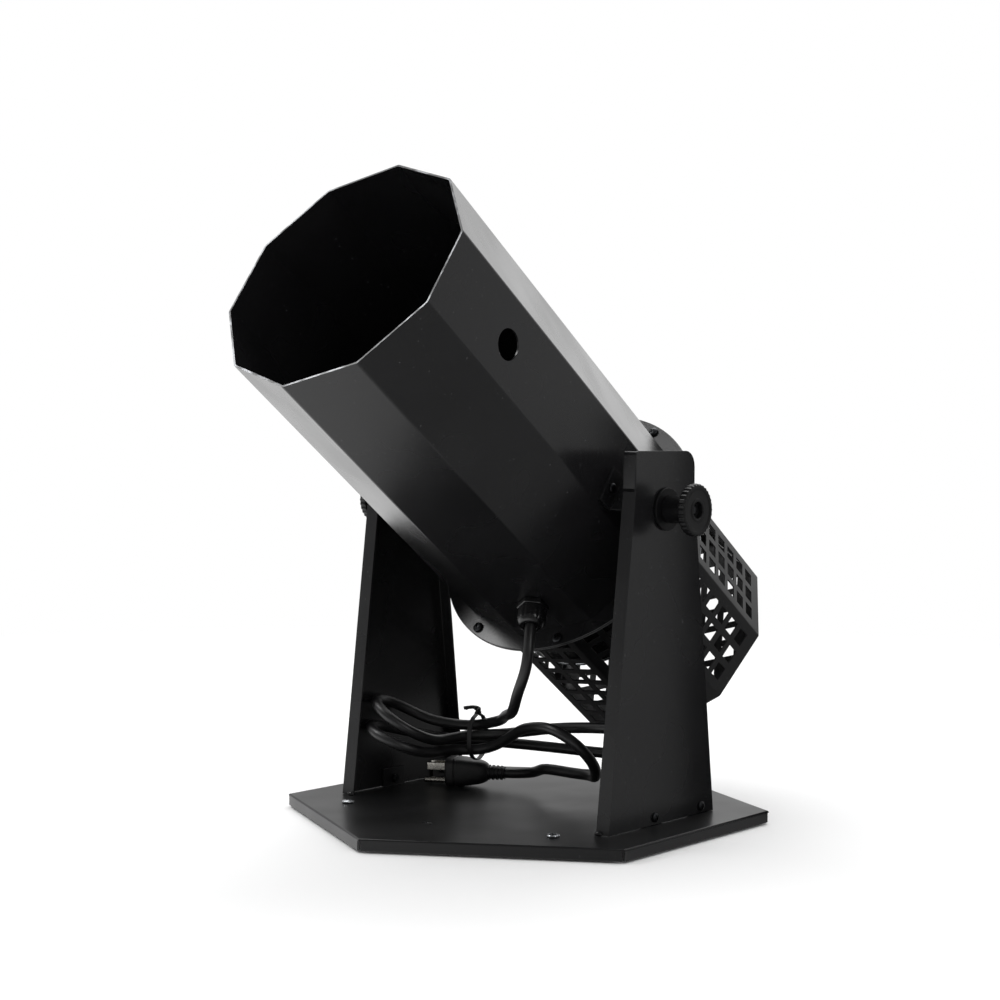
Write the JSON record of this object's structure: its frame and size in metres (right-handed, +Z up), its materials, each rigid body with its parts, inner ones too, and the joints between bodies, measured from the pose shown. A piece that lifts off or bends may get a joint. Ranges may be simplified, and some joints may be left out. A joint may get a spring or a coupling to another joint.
{
  "type": "confetti blower",
  "caption": "Stage confetti blower: a tilting ten-sided fan barrel with a perforated intake cage, held in a yoke over a hexagonal base plate.",
  "frame": {"origin": "under the middle of the object's box, on the floor, at the bottom of the rubber feet", "axes": "+Z up, the mouth looks towards -Y and upwards, +X along the tilt axis towards the knob that the picture shows"},
  "size_m": [0.34, 0.5231, 0.5068],
  "materials": {
    "black_powder_coat": "semi-gloss fine powder coat",
    "black_nylon": "moulded, slight sheen",
    "black_rubber": "matt",
    "lead_rubber": "soft sheen",
    "zinc": "bright zinc plate",
    "black_zinc": "black plated",
    "nickel": "bright nickel",
    "motor_iron": "painted casting",
    "fan_aluminium": "cast"
  },
  "bodies": {
    "stand": {"base_plate": "black_powder_coat", "rubber_foot_1": "black_rubber", "rubber_foot_2": "black_rubber", "rubber_foot_3": "black_rubber", "rubber_foot_4": "black_rubber", "foot_screw_1": "zinc", "foot_screw_2": "zinc", "foot_screw_3": "zinc", "foot_screw_4": "zinc", "upright_left": "black_powder_coat", "upright_right": "black_powder_coat", "web_screw_left_1": "black_zinc", "web_screw_left_2": "black_zinc", "web_screw_right_1": "black_zinc", "web_screw_right_2": "black_zinc", "cord_free": "lead_rubber", "cord_hank": "lead_rubber", "cable_tie": "black_nylon", "plug": "lead_rubber", "plug_live": "nickel", "plug_neutral": "nickel", "plug_earth": "nickel"},
    "head": {"barrel": "black_powder_coat", "barrel_flange": "black_powder_coat", "fan_ring": "black_powder_coat", "flange_bolt_1": "zinc", "flange_bolt_2": "zinc", "flange_bolt_3": "zinc", "flange_bolt_4": "zinc", "flange_bolt_5": "zinc", "flange_bolt_6": "zinc", "flange_bolt_7": "zinc", "flange_bolt_8": "zinc", "cage_wall": "black_powder_coat", "cage_rear": "black_powder_coat", "wire_guard": "zinc", "motor": "motor_iron", "trunnion_left": "black_powder_coat", "trunnion_right": "black_powder_coat", "trunnion_screw_left_1": "black_zinc", "trunnion_screw_left_2": "black_zinc", "trunnion_screw_right_1": "black_zinc", "trunnion_screw_right_2": "black_zinc", "pivot_bolt_left": "zinc", "pivot_bolt_right": "zinc", "inner_washer_left": "black_nylon", "inner_washer_right": "black_nylon", "outer_washer_left": "black_nylon", "outer_washer_right": "black_nylon", "gland_body": "black_nylon", "gland_cap": "black_nylon", "gland_nut": "black_nylon"},
    "rotor": {"fan_rotor": "fan_aluminium"},
    "knob_left": {"clamp_knob_left": "black_nylon"},
    "knob_right": {"clamp_knob_right": "black_nylon"}
  },
  "joints": [
    {"name": "head_tilt", "type": "hinge", "parent": "stand", "child": "head", "pos_m": [0, 0.014, 0.2515], "axis": [-1, 0, 0], "range_deg": [-35, 11.5], "deforming": ["cord_free"]},
    {"name": "fan_spin", "type": "hinge", "parent": "head", "child": "rotor", "pos_m": [0, 0.09155, 0.21257], "axis": [0, -0.8123, 0.5832], "continuous": true},
    {"name": "knob_left_turn", "type": "hinge", "parent": "head", "child": "knob_left", "pos_m": [-0.15, 0.014, 0.2515], "axis": [-1, 0, 0], "continuous": true},
    {"name": "knob_right_turn", "type": "hinge", "parent": "head", "child": "knob_right", "pos_m": [0.15, 0.014, 0.2515], "axis": [1, 0, 0], "continuous": true}
  ]
}
